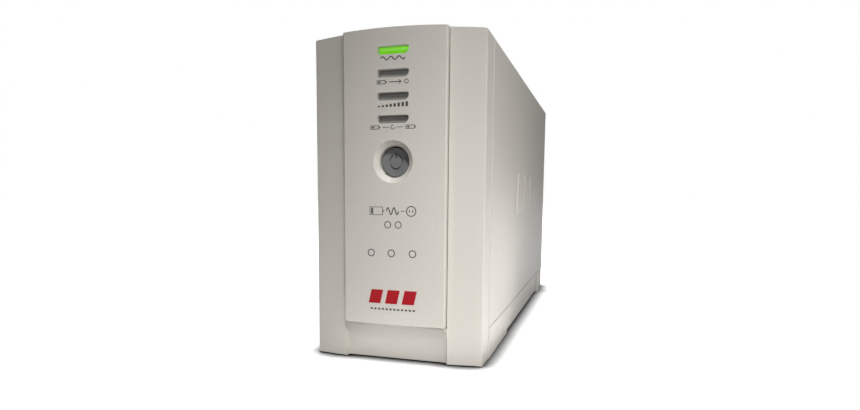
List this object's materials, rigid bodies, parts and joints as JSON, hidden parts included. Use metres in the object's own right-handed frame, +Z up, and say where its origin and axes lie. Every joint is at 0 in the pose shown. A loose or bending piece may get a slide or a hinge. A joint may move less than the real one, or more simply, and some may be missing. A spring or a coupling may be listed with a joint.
{
  "type": "uninterruptible power supply",
  "caption": "Narrow beige tower with a bowed front panel, slot-shaped status lights, a dished round power button, a sliding battery cover underneath and sockets in a recessed rear.",
  "frame": {"origin": "centre of the bounding box in X and Y, on the surface the unit stands on", "axes": "+X to the right seen from the front, +Y from the front face to the rear, +Z up"},
  "size_m": [0.0956, 0.284, 0.165],
  "materials": {
    "case_plastic": "fine spark-eroded texture",
    "button_grey": "satin",
    "lens_green": "glossy",
    "lens_smoke": "glossy",
    "zinc_screw": "zinc plated",
    "switch_black": "satin",
    "plunger_white": "satin",
    "circuit_board": "solder mask",
    "led_green": "clear resin",
    "ribbon_grey": "satin",
    "battery_grey": "moulded",
    "lead": "dull",
    "tinned": "tinned",
    "connector_brass": "plain",
    "wire_red": "satin",
    "wire_black": "satin",
    "wire_brown": "satin",
    "wire_blue": "satin",
    "wire_green": "satin",
    "wire_yellow": "satin",
    "core_steel": "laminated",
    "bobbin_cream": "moulded",
    "copper": "enamelled wire",
    "frame_steel": "pressed sheet",
    "shelf_plastic": "moulded",
    "sink_aluminium": "extruded",
    "component_black": "moulded",
    "relay_blue": "moulded",
    "capacitor_sleeve": "shrink sleeve",
    "fuse_glass": "clear",
    "connector_white": "moulded",
    "rear_plastic": "fine texture",
    "socket_black": "moulded",
    "nickel": "plated",
    "reset_red": "moulded"
  },
  "bodies": {
    "unit": {"housing_right": "case_plastic", "housing_left": "case_plastic", "front_bezel": "case_plastic", "front_panel": "case_plastic", "lens_on_line": "lens_green", "lens_on_battery": "lens_smoke", "lens_overload": "lens_smoke", "lens_replace_battery": "lens_smoke", "housing_screws": "zinc_screw", "board_screws": "zinc_screw", "transformer_screws": "zinc_screw", "power_switch": "switch_black", "front_board": "circuit_board", "main_board": "circuit_board", "indicator_leds": "led_green", "ribbon_cable": "ribbon_grey", "battery_case": "battery_grey", "battery_lid": "battery_grey", "battery_plates": "lead", "battery_terminals": "tinned", "inlet_pins": "tinned", "fuse_clips": "tinned", "lead_connectors": "connector_brass", "outlet_contacts": "connector_brass", "jack_contacts": "connector_brass", "battery_lead_red": "wire_red", "battery_lead_black": "wire_black", "live_wire": "wire_brown", "neutral_wire": "wire_blue", "earth_wire": "wire_green", "transformer_leads": "wire_yellow", "transformer_core": "core_steel", "transformer_bobbin": "bobbin_cream", "primary_winding": "copper", "secondary_winding": "copper", "transformer_frame": "frame_steel", "board_shelf": "shelf_plastic", "heat_sinks": "sink_aluminium", "power_transistors": "component_black", "chips": "component_black", "buzzer": "component_black", "relays": "relay_blue", "varistors": "relay_blue", "capacitors": "capacitor_sleeve", "fuse": "fuse_glass", "board_connectors": "connector_white", "rear_panel": "rear_plastic", "outlet_1": "socket_black", "outlet_2": "socket_black", "outlet_3": "socket_black", "outlet_4": "socket_black", "power_inlet": "socket_black", "phone_jack": "socket_black", "data_port": "socket_black", "circuit_breaker": "socket_black", "breaker_nut": "nickel"},
    "battery_cover": {"battery_cover": "case_plastic"},
    "power_button": {"power_button": "button_grey", "switch_plunger": "plunger_white"},
    "breaker_reset": {"breaker_reset_button": "reset_red"}
  },
  "joints": [
    {"name": "battery_cover_slide", "type": "slide", "parent": "unit", "child": "battery_cover", "axis": [0, 1, 0], "range_m": [0, 0.014]},
    {"name": "power_button_press", "type": "slide", "parent": "unit", "child": "power_button", "axis": [0, 1, 0], "range_m": [0, 0.0012], "stiffness_N_per_m": 1200, "springref_m": -0.0003},
    {"name": "breaker_reset_travel", "type": "slide", "parent": "unit", "child": "breaker_reset", "axis": [0, 1, 0], "range_m": [0, 0.0022]}
  ]
}
